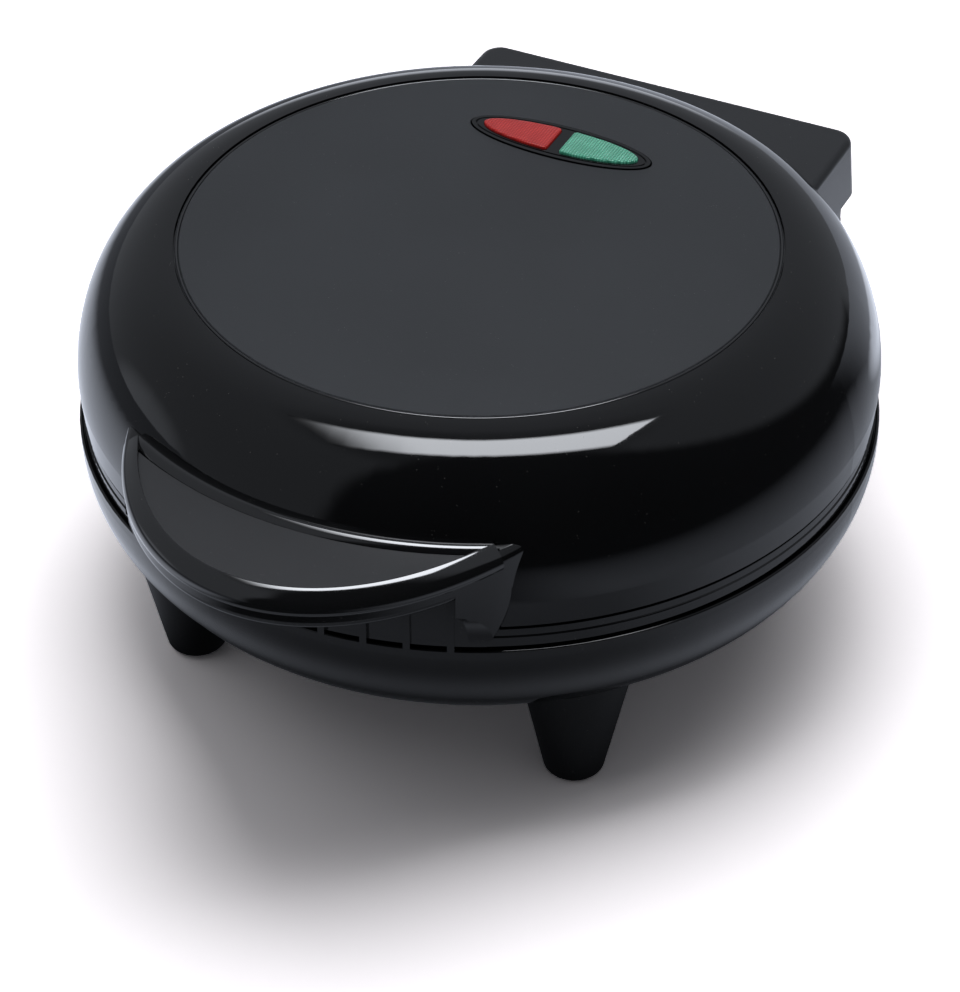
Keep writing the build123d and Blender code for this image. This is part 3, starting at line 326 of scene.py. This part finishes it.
def table_glow(tree, place, radius):
    """A painted reflection: how bright the table looks in the glossy pieces, by the distance and side from
    the object, with painted shade under and in front of it.
    """
    def side(azimuth, low, high):
        """A soft step towards one side, over a distance in metres."""
        return smooth(tree, measured(tree, "DOT_PRODUCT", place, direction(azimuth, 0)), low, high)

    near = maths(tree, "MULTIPLY", smooth(tree, radius, 0.17, 0.24, 1.0, 0.0), NEAR_GLOW)
    right = maths(tree, "MULTIPLY", side(115, -0.02, 0.12),
                  smooth(tree, radius, 0.17, 0.50, RIGHT_GLOW, 0.0))
    left = maths(tree, "MULTIPLY", side(-100, 0.0, 0.12),
                 smooth(tree, radius, 0.22, 0.58, LEFT_GLOW, LEFT_FAR_GLOW))
    bearing = maths(tree, "DIVIDE", measured(tree, "DOT_PRODUCT", place, direction(178, 0)), radius)
    back = smooth(tree, bearing, 0.70, 0.97, 0.0, BACK_GLOW)
    hood_side = smooth(tree, measured(tree, "DISTANCE", place, HOOD_SIDE_PLACE),
                       0.04, 0.10, HOOD_SIDE_GLOW, 0.0)
    lit = maths(tree, "MAXIMUM", maths(tree, "MAXIMUM", near, right), maths(tree, "MAXIMUM", left, back))
    lit = maths(tree, "MAXIMUM", lit, hood_side)
    # Under the body and close in front of it the mirrored table is darker: painted shade.
    beyond_body = smooth(tree, radius, 0.085, 0.12)
    shaded = maths(tree, "MULTIPLY", side(15, 0.05, 0.15), smooth(tree, radius, 0.14, 0.22, 1.0, 0.0))
    unshaded = maths(tree, "SUBTRACT", 1.0, maths(tree, "MULTIPLY", shaded, FRONT_SHADE))
    lit = maths(tree, "MULTIPLY", lit, maths(tree, "MULTIPLY", beyond_body, unshaded))
    return maths(tree, "ADD", lit, TABLE_MIRROR_LEAST)


def make_floor():
    """A white table that keeps the soft shadow, and mirrors a painted reflection that is darker towards the
    front right.
    """
    shape = bmesh.new()
    bmesh.ops.create_grid(shape, x_segments=1, y_segments=1, size=TABLE_REACH)
    material = new_material("white_table")
    tree = material.node_tree
    place = object_place(tree)
    radius = measured(tree, "LENGTH", place)
    soft = coloured(tree, "ShaderNodeBsdfDiffuse", TABLE_GREY)
    mirrored = coloured(tree, "ShaderNodeEmission", TABLE_MIRROR_TINT)
    link(tree, table_glow(tree, place, radius), mirrored.inputs["Strength"])
    close = coloured(tree, "ShaderNodeBsdfDiffuse", TABLE_SHOWN)
    far = coloured(tree, "ShaderNodeEmission", WHITE, 1.0)
    shown = mixed_shaders(tree, smooth(tree, radius, 0.40, 0.85), close, far)
    out = add(tree, "ShaderNodeOutputMaterial")
    link(tree, by_ray(tree, soft, mirrored, shown).outputs[0], out.inputs["Surface"])
    staged_card("floor", shape, material)


# Finishes

GLOSS = (0.0042, 0.0044, 0.005)
SATIN = (0.0105, 0.0115, 0.0135)
PLATEAU_SATIN = (0.0165, 0.0172, 0.0195)
PANEL_SATIN = (0.0175, 0.0196, 0.0232)
LEG_BLACK = (0.0022, 0.0023, 0.0026)
DUST_COLOUR = (0.45, 0.44, 0.42)
HEAT_COLOUR = (0.16, 0.10, 0.07)
# Each lens: the colour of its facets, the darker colour of the grooves between them (painted shade), its
# painted glow (emission standing in for light passing through the plastic) and its relief in metres
RED_LENS = ((0.53, 0.028, 0.022), (0.32, 0.010, 0.009), 0.15, 0.00004)
GREEN_LENS = ((0.14, 0.58, 0.40), (0.035, 0.24, 0.15), 0.14, 0.00014)
PRISM_PITCH = 0.0008


def make_group(name, inputs):
    """A node group that turns named inputs into a colour, a roughness and a height."""
    group = bpy.data.node_groups.new(name, "ShaderNodeTree")
    for label, kind, value in inputs:
        socket = group.interface.new_socket(name=label, in_out="INPUT", socket_type=kind)
        socket.default_value = value
    for label, kind in (("Colour", "NodeSocketColor"), ("Roughness", "NodeSocketFloat"),
                        ("Height", "NodeSocketFloat")):
        group.interface.new_socket(name=label, in_out="OUTPUT", socket_type=kind)
    return group, group.nodes.new("NodeGroupInput"), group.nodes.new("NodeGroupOutput")


def noise(tree, vector, scale, detail, rough):
    """The Fac of a Noise texture."""
    node = add(tree, "ShaderNodeTexNoise", Scale=scale, Detail=detail, Roughness=rough)
    link(tree, vector, node.inputs["Vector"])
    return node.outputs["Fac"]


def stretched(tree, vector, scale, rotation=(0.0, 0.0, 0.0)):
    """A vector socket with each axis scaled and turned."""
    node = add(tree, "ShaderNodeMapping")
    node.inputs["Rotation"].default_value = rotation
    node.inputs["Scale"].default_value = scale
    link(tree, vector, node.inputs["Vector"])
    return node.outputs[0]


def mixed_colour(tree, factor, first, second):
    """A colour socket mixed with a fixed colour."""
    mix = add(tree, "ShaderNodeMix", data_type="RGBA")
    link(tree, factor, mix.inputs["Factor"])
    link(tree, first, mix.inputs["A"])
    mix.inputs["B"].default_value = (*second, 1.0)
    return mix.outputs["Result"]


def moulded_group():
    """Moulded plastic: its colour, roughness and height, with handling marks and dust."""
    group, given, out = make_group("moulded_plastic", [
        ("Colour", "NodeSocketColor", (0.02, 0.02, 0.02, 1.0)),
        ("Roughness", "NodeSocketFloat", 0.1),
        ("Smear", "NodeSocketFloat", 0.05),
        ("Grain", "NodeSocketFloat", 0.3),
        ("Grain Scale", "NodeSocketFloat", 2500.0),
        ("Flow", "NodeSocketFloat", 0.1),
        ("Dust", "NodeSocketFloat", 0.02),
    ])
    place = object_place(group)
    broad = noise(group, place, 18.0, 2.0, 0.5)
    wipes = noise(group, stretched(group, place, (60.0, 14.0, 60.0), (0.0, 0.3, 0.6)), 1.0, 4.0, 0.6)
    smear = maths(group, "MULTIPLY", smooth(group, wipes, 0.45, 0.8), smooth(group, broad, 0.35, 0.7))
    rough = maths(group, "ADD", given.outputs["Roughness"],
                  maths(group, "MULTIPLY", smear, given.outputs["Smear"]), clamp=True)
    link(group, rough, out.inputs["Roughness"])
    grain = noise(group, scaled(group, place, given.outputs["Grain Scale"]), 1.0, 2.0, 0.6)
    flow = noise(group, place, 55.0, 1.0, 0.4)
    height = maths(group, "ADD", maths(group, "MULTIPLY", grain, given.outputs["Grain"]),
                   maths(group, "MULTIPLY", flow, given.outputs["Flow"]))
    link(group, height, out.inputs["Height"])
    specks = add(group, "ShaderNodeTexVoronoi", Scale=900.0)
    link(group, place, specks.inputs["Vector"])
    speck = smooth(group, specks.outputs["Distance"], 0.06, 0.12, 1.0, 0.0)
    thin = smooth(group, noise(group, place, 240.0, 1.0, 0.5), 0.60, 0.66)
    dust = maths(group, "MULTIPLY", maths(group, "MULTIPLY", speck, thin), given.outputs["Dust"])
    shade = smooth(group, broad, 0.3, 0.7, 0.90, 1.10)
    tinted = scaled(group, given.outputs["Colour"], shade)
    link(group, mixed_colour(group, dust, tinted, DUST_COLOUR), out.inputs["Colour"])
    return group


def metal_group():
    """Worked metal: brushed lines or plain dull sheet with spots."""
    group, given, out = make_group("worked_metal", [
        ("Colour", "NodeSocketColor", (0.5, 0.5, 0.5, 1.0)),
        ("Roughness", "NodeSocketFloat", 0.3),
        ("Brushing", "NodeSocketFloat", 0.3),
        ("Heat Tint", "NodeSocketFloat", 0.0),
    ])
    place = object_place(group)
    lines = noise(group, stretched(group, place, (80.0, 2600.0, 2600.0)), 1.0, 3.0, 0.6)
    spots = noise(group, place, 140.0, 4.0, 0.6)
    rough = maths(group, "ADD", given.outputs["Roughness"],
                  maths(group, "MULTIPLY", smooth(group, spots, 0.3, 0.7), 0.12), clamp=True)
    link(group, rough, out.inputs["Roughness"])
    link(group, maths(group, "MULTIPLY", lines, given.outputs["Brushing"]), out.inputs["Height"])
    hot = maths(group, "MULTIPLY", smooth(group, noise(group, place, 30.0, 2.0, 0.5), 0.4, 0.7),
                given.outputs["Heat Tint"])
    spotted = scaled(group, given.outputs["Colour"], smooth(group, spots, 0.3, 0.7, 0.85, 1.1))
    link(group, mixed_colour(group, hot, spotted, HEAT_COLOUR), out.inputs["Colour"])
    return group


def effect_node(tree, group, colour, **values):
    """A group's node with its colour and values set by name."""
    effect = add(tree, "ShaderNodeGroup", node_tree=group)
    effect.inputs["Colour"].default_value = (*colour, 1.0)
    for key, value in values.items():
        effect.inputs[key.replace("_", " ")].default_value = value
    return effect


def principled(tree, **values):
    """A Principled BSDF with an output node; values set its own sockets."""
    shader = add(tree, "ShaderNodeBsdfPrincipled")
    for key, value in values.items():
        shader.inputs[key.replace("_", " ")].default_value = value
    out = add(tree, "ShaderNodeOutputMaterial")
    link(tree, shader.outputs[0], out.inputs["Surface"])
    return shader


def bump(tree, height, shader, distance):
    """A Bump node from a height of about 0 to 1 that stands for a distance in metres."""
    node = add(tree, "ShaderNodeBump", Strength=1.0, Distance=distance)
    link(tree, height, node.inputs["Height"])
    link(tree, node.outputs[0], shader.inputs["Normal"])


def finish_from(tree, effect, shader, height):
    """Takes a shader's colour, roughness and relief from a group's node."""
    link(tree, effect.outputs["Colour"], shader.inputs["Base Color"])
    link(tree, effect.outputs["Roughness"], shader.inputs["Roughness"])
    bump(tree, effect.outputs["Height"], shader, height)


def moulded(name, colour, roughness, group, smear=0.05, grain=0.3, grain_scale=2500.0, flow=0.1,
            dust=0.02, height=0.00005, ior=1.5):
    """A moulded plastic finish."""
    material = new_material(name)
    tree = material.node_tree
    effect = effect_node(tree, group, colour, Roughness=roughness, Smear=smear, Grain=grain,
                         Grain_Scale=grain_scale, Flow=flow, Dust=dust)
    finish_from(tree, effect, principled(tree, IOR=ior), height)
    return material


def metal(name, colour, roughness, group, brushing=0.3, heat=0.0, height=0.00002):
    """A metal finish."""
    material = new_material(name)
    tree = material.node_tree
    effect = effect_node(tree, group, colour, Roughness=roughness, Brushing=brushing, Heat_Tint=heat)
    finish_from(tree, effect, principled(tree, Metallic=1.0), height)
    return material


def lens_material(name, facet_colour, groove_shade_colour, glow, relief):
    """Clear coloured plastic with a fine grid of prisms behind its face; its grooves carry a painted darker
    shade and its face a painted glow.
    """
    material = new_material(name)
    tree = material.node_tree
    place = object_place(tree)
    ridges = []
    for axis in split_axes(tree, place)[:2]:
        cell = maths(tree, "FRACT", maths(tree, "DIVIDE", axis, PRISM_PITCH))
        middle = maths(tree, "ABSOLUTE", maths(tree, "SUBTRACT", cell, 0.5))
        ridges.append(smooth(tree, middle, 0.22, 0.5, 1.0, 0.0))
    facet = maths(tree, "MULTIPLY", *ridges)
    clouding = smooth(tree, noise(tree, place, 260.0, 2.0, 0.5), 0.3, 0.7, 0.55, 1.0)
    shader = principled(tree, Roughness=0.14, IOR=1.48)
    # The grooves' darker colour is painted shade between the prisms.
    tint = add(tree, "ShaderNodeMix", data_type="RGBA")
    link(tree, maths(tree, "MULTIPLY", facet, clouding), tint.inputs["Factor"])
    tint.inputs["A"].default_value = (*groove_shade_colour, 1.0)
    tint.inputs["B"].default_value = (*facet_colour, 1.0)
    link(tree, tint.outputs["Result"], shader.inputs["Base Color"])
    # The emission is a painted glow that stands in for light passing through the clear plastic.
    link(tree, tint.outputs["Result"], shader.inputs["Emission Color"])
    shader.inputs["Emission Strength"].default_value = glow
    bump(tree, facet, shader, relief)
    return material


# The handle's satin plateau: inside this oval, outside this radius of the body, above this height
PLATEAU_HALF_WIDTH = 0.0611
PLATEAU_LENGTH = 0.0917
PLATEAU_FROM_RADIUS = 0.1077
PLATEAU_ABOVE = 0.0950


def plateau_mask(tree, point):
    """1 on the handle's plateau and 0 on the rest of the handle."""
    x, y, z = split_axes(tree, point)
    across = maths(tree, "DIVIDE", x, PLATEAU_HALF_WIDTH)
    along = maths(tree, "DIVIDE", maths(tree, "SUBTRACT", y, HANDLE_CENTRE_Y), PLATEAU_LENGTH)
    oval = maths(tree, "ADD", maths(tree, "MULTIPLY", across, across), maths(tree, "MULTIPLY", along, along))
    inside = maths(tree, "LESS_THAN", oval, 1.0)
    from_axis = maths(tree, "SUBTRACT", y, BODY_AXIS_Y)
    reach = maths(tree, "SQRT", maths(tree, "ADD", maths(tree, "MULTIPLY", x, x),
                                      maths(tree, "MULTIPLY", from_axis, from_axis)))
    beyond = maths(tree, "GREATER_THAN", reach, PLATEAU_FROM_RADIUS)
    above = maths(tree, "GREATER_THAN", z, PLATEAU_ABOVE)
    return maths(tree, "MULTIPLY", maths(tree, "MULTIPLY", inside, beyond), above)


def handle_finish(name, group):
    """Glossy plastic whose plateau has a fine satin texture."""
    material = new_material(name)
    tree = material.node_tree
    mask = plateau_mask(tree, object_place(tree))
    shared = {"Smear": 0.05, "Flow": 0.3, "Dust": 0.3}
    gloss = effect_node(tree, group, GLOSS, Roughness=0.06, Grain=0.04, Grain_Scale=2500.0, **shared)
    satin = effect_node(tree, group, PLATEAU_SATIN, Roughness=0.42, Grain=0.9, Grain_Scale=3000.0, **shared)

    def chosen(label, kind):
        """One output of the gloss or the satin, by the mask."""
        mix = add(tree, "ShaderNodeMix", data_type=kind)
        link(tree, mask, mix.inputs["Factor"])
        first, second = [socket for socket in mix.inputs if socket.enabled and socket.name in ("A", "B")]
        link(tree, gloss.outputs[label], first)
        link(tree, satin.outputs[label], second)
        return [socket for socket in mix.outputs if socket.enabled][0]

    shader = principled(tree, IOR=1.5)
    link(tree, chosen("Colour", "RGBA"), shader.inputs["Base Color"])
    link(tree, chosen("Roughness", "FLOAT"), shader.inputs["Roughness"])
    bump(tree, chosen("Height", "FLOAT"), shader, 0.00003)
    return material


def make_finishes():
    """Every finish by its slot in the record, and those of single pieces."""
    plastic = moulded_group()
    worked = metal_group()
    finishes = {
        "gloss_black": moulded("gloss_black", GLOSS, 0.045, plastic,
                               grain=0.04, flow=0.5, dust=0.3, height=0.00002),
        "satin_graphite": moulded("satin_graphite", SATIN, 0.40, plastic,
                                  grain=0.9, grain_scale=3000.0, dust=0.3, height=0.00003),
        "leg_black": moulded("leg_black", LEG_BLACK, 0.58, plastic,
                             grain=1.0, grain_scale=2200.0, dust=0.4, height=0.00004, ior=1.38),
        "nonstick_cast": moulded("nonstick_cast", (0.020, 0.020, 0.022), 0.36, plastic, smear=0.1,
                                 grain=1.0, grain_scale=1500.0, flow=0.6, dust=0.5),
        "soft_rubber": moulded("soft_rubber", (0.014, 0.014, 0.015), 0.75, plastic,
                               grain=1.0, grain_scale=1800.0, flow=0.2, dust=0.8, height=0.00004),
        "white_ceramic": moulded("white_ceramic", (0.70, 0.68, 0.63), 0.55, plastic, smear=0.1,
                                 grain=0.8, grain_scale=1600.0, flow=0.3, dust=0.5),
        "holder_white": moulded("holder_white", (0.60, 0.58, 0.52), 0.45, plastic, smear=0.1,
                                grain=0.6, grain_scale=2000.0, flow=0.2, dust=0.3),
        "heater_steel": metal("heater_steel", (0.30, 0.28, 0.25), 0.34, worked, heat=0.8),
        "sheet_steel": metal("sheet_steel", (0.56, 0.57, 0.58), 0.30, worked, brushing=0.4),
        "zinc_steel": metal("zinc_steel", (0.62, 0.63, 0.64), 0.26, worked, brushing=0.2),
        "pin_steel": metal("pin_steel", (0.52, 0.52, 0.53), 0.22, worked, brushing=0.2),
        "red_lens_plastic": lens_material("red_lens_plastic", *RED_LENS),
        "green_lens_plastic": lens_material("green_lens_plastic", *GREEN_LENS),
        "lamp_glass": moulded("lamp_glass", (0.8, 0.8, 0.76), 0.1, plastic, smear=0.02, grain=0.05),
    }
    special = {
        "lid_handle": handle_finish("handle_gloss_and_satin", plastic),
        "top_panel": moulded("panel_satin", PANEL_SATIN, 0.40, plastic,
                             grain=0.9, grain_scale=3000.0, dust=0.3, height=0.00003),
        "polished": moulded("polished_edges", GLOSS, 0.08, plastic, smear=0.04,
                            grain=0.04, flow=0.3, dust=0.2, height=0.00002, ior=1.75),
    }
    return finishes, special


def dress_nodes(finishes, special):
    """Gives every CAD node the finish of its slot, or its own."""
    for row in frame["record"]["subparts"]:
        mesh = nodes[row["node"]].data
        mesh.materials.clear()
        mesh.materials.append(special.get(row["node"], finishes[row["material_slot"]]))


# Small pieces that the solids leave to the looks

def new_piece(name, shape, body, material, smooth_faces=True):
    """A finished piece from a bmesh, riding on a body."""
    mesh = bpy.data.meshes.new(name)
    bmesh.ops.recalc_face_normals(shape, faces=shape.faces)
    shape.to_mesh(mesh)
    shape.free()
    for face in mesh.polygons:
        face.use_smooth = smooth_faces
    mesh.materials.append(material)
    piece = bpy.data.objects.new(name, mesh)
    scene.collection.objects.link(piece)
    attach(piece, body)


def front_arc(centre_y, half_width, length, half_angle, steps):
    """Points on an oval's front from left to right, on both sides of the centre line."""
    angles = [half_angle * i / steps for i in range(-steps, steps + 1)]
    return [(half_width * math.sin(a), centre_y - length * math.cos(a)) for a in angles]


def swept(shape, path, section, base=0.0, end_size=1.0):
    """Adds a closed section (outwards, up) swept along an open path; its ends may shrink to the base."""
    outline = bpy.data.curves.new("section", "CURVE")
    outline.dimensions = "2D"
    ring = outline.splines.new("POLY")
    ring.points.add(len(section) - 1)
    ring.use_cyclic_u = True
    for point, (out, up) in zip(ring.points, section):
        point.co = (out, up - base, 0.0, 1.0)
    profile = bpy.data.objects.new("section", outline)
    scene.collection.objects.link(profile)
    curve = bpy.data.curves.new("path", "CURVE")
    curve.dimensions = "3D"
    curve.twist_mode = "Z_UP"
    curve.bevel_mode = "OBJECT"
    curve.bevel_object = profile
    curve.use_fill_caps = True
    run = curve.splines.new("POLY")
    run.points.add(len(path) - 1)
    end_part = 0.03 * len(path)
    for i, (point, (x, y)) in enumerate(zip(run.points, path)):
        point.co = (x, y, base, 1.0)
        from_end = min(i, len(path) - 1 - i) / end_part
        point.radius = end_size + (1.0 - end_size) * min(1.0, from_end)
    holder = bpy.data.objects.new("path", curve)
    scene.collection.objects.link(holder)
    mesh = bpy.data.meshes.new_from_object(holder.evaluated_get(bpy.context.evaluated_depsgraph_get()))
    shape.from_mesh(mesh)
    for thing in (holder, profile):
        bpy.data.objects.remove(thing)
    for data in (curve, outline):
        bpy.data.curves.remove(data)
    bpy.data.meshes.remove(mesh)


def arc(start, radius, first, last, steps):
    """Points outwards and down from a start, the surface turning from one tilt to another."""
    tilts = [math.radians(first + (last - first) * i / steps) for i in range(steps + 1)]
    return [(start[0] + radius * (math.sin(a) - math.sin(tilts[0])),
             start[1] + radius * (math.cos(a) - math.cos(tilts[0]))) for a in tilts]


# The lip on the handle's outer edge: its reach to each side, its top, how far in from the edge
# it starts, its foot, and its turns as radius, first and last tilt and steps
LIP_HALF_WIDTH = 0.0529
LIP_HEIGHT = 0.0970
LIP_INSET = 0.0039
LIP_FOOT = 0.0909
LIP_TURNS = ((0.00608, 20, 36, 8), (0.0255, 36, 40, 4), (0.00364, 40, 90, 14))
# The lip where the plateau meets the dome
DOME_LIP_RADIUS = DOME_AT_PLATEAU - 0.0004
DOME_LIP_HALF_WIDTH = 0.0484
DOME_LIP_HEIGHT = 0.09675
DOME_LIP_FOOT = 0.0948


def make_handle_lip(material):
    """The rounded lip round the handle's plateau, lying over the solid's plain one."""
    shape = bmesh.new()
    roll = [(-LIP_INSET, LIP_HEIGHT)]
    for radius, first, last, steps in LIP_TURNS:
        roll += arc(roll[-1], radius, first, last, steps)[1:]
    section = [(-LIP_INSET - 0.0002, 0.0951), (-LIP_INSET - 0.0001, LIP_HEIGHT - 0.0001)] + roll + [
        (roll[-1][0] - 0.0001, 0.0914), (-0.0006, LIP_FOOT), (-0.0030, 0.0940)]
    edge = front_arc(HANDLE_CENTRE_Y, HANDLE_HALF_WIDTH, HANDLE_LENGTH,
                     math.asin(LIP_HALF_WIDTH / HANDLE_HALF_WIDTH), 90)
    swept(shape, edge, section, LIP_FOOT, 0.96)
    slope = arc((0.0030, DOME_LIP_HEIGHT), 0.0040, 18, 52, 12)
    section = [(0.0, DOME_LIP_FOOT), (0.0, DOME_LIP_HEIGHT + 0.0001)] + slope + [
        (slope[-1][0] + 0.0001, DOME_LIP_FOOT + 0.0001)]
    meeting = front_arc(BODY_AXIS_Y, DOME_LIP_RADIUS, DOME_LIP_RADIUS,
                        math.asin(DOME_LIP_HALF_WIDTH / DOME_LIP_RADIUS), 70)
    swept(shape, meeting, section, DOME_LIP_FOOT, 0.85)
    new_piece("handle_lip", shape, "lid", material)


def spun_bead(shape, radius, height, thickness):
    """Adds a round bead on a circle about the body's axis."""
    section = Matrix.Translation((radius, 0.0, height)) @ Matrix.Rotation(math.radians(90), 4, "X")
    made = bmesh.ops.create_circle(shape, segments=14, radius=thickness, matrix=section)
    edges = {edge for vert in made["verts"] for edge in vert.link_edges}
    bmesh.ops.spin(shape, geom=made["verts"] + list(edges), cent=(0, 0, 0), axis=(0, 0, 1),
                   angle=math.tau, steps=256, use_merge=True)
    bmesh.ops.translate(shape, verts=shape.verts, vec=(0.0, BODY_AXIS_Y, 0.0))


# Radius, height and thickness of each bead
PANEL_EDGE = (0.0793, 0.11442, 0.00042)
BOWL_LIP = (0.10745, 0.06375, 0.0005)


def make_panel_edge(material):
    """The polished edge round the lid's panel."""
    shape = bmesh.new()
    spun_bead(shape, *PANEL_EDGE)
    new_piece("panel_edge", shape, "lid", material)


def make_bowl_lip(material):
    """The rounded top of the bowl's lip."""
    shape = bmesh.new()
    spun_bead(shape, *BOWL_LIP)
    new_piece("bowl_lip", shape, "base", material)


BAND_RADIUS = 0.1060
BAND_HALF_ANGLE = 152
# From the top, out over the dividing line and down; each point is outwards of the radius, and its height
BAND_SECTION = [
    (-0.0008, 0.0701), (0.00035, 0.0701), (0.00045, 0.0700), (0.00050, 0.06805),
    (0.00042, 0.06790), (0.00060, 0.06778), (0.00080, 0.06760), (0.00085, 0.06500),
    (0.00065, 0.06475), (-0.0001, 0.06475), (-0.0001, 0.0656)]


def make_lid_band(material):
    """The band below the lid's dome, standing out over the trim ring, with its fine dividing line."""
    shape = bmesh.new()
    path = front_arc(BODY_AXIS_Y, BAND_RADIUS, BAND_RADIUS, math.radians(BAND_HALF_ANGLE), 120)
    swept(shape, path, BAND_SECTION)
    new_piece("lid_band", shape, "lid", material, smooth_faces=False)


make_camera()
make_world()
make_lamps()
make_strip()
make_floor()
finishes, special = make_finishes()
dress_nodes(finishes, special)
make_handle_lip(special["polished"])
make_panel_edge(special["polished"])
make_lid_band(finishes["gloss_black"])
make_bowl_lip(finishes["gloss_black"])
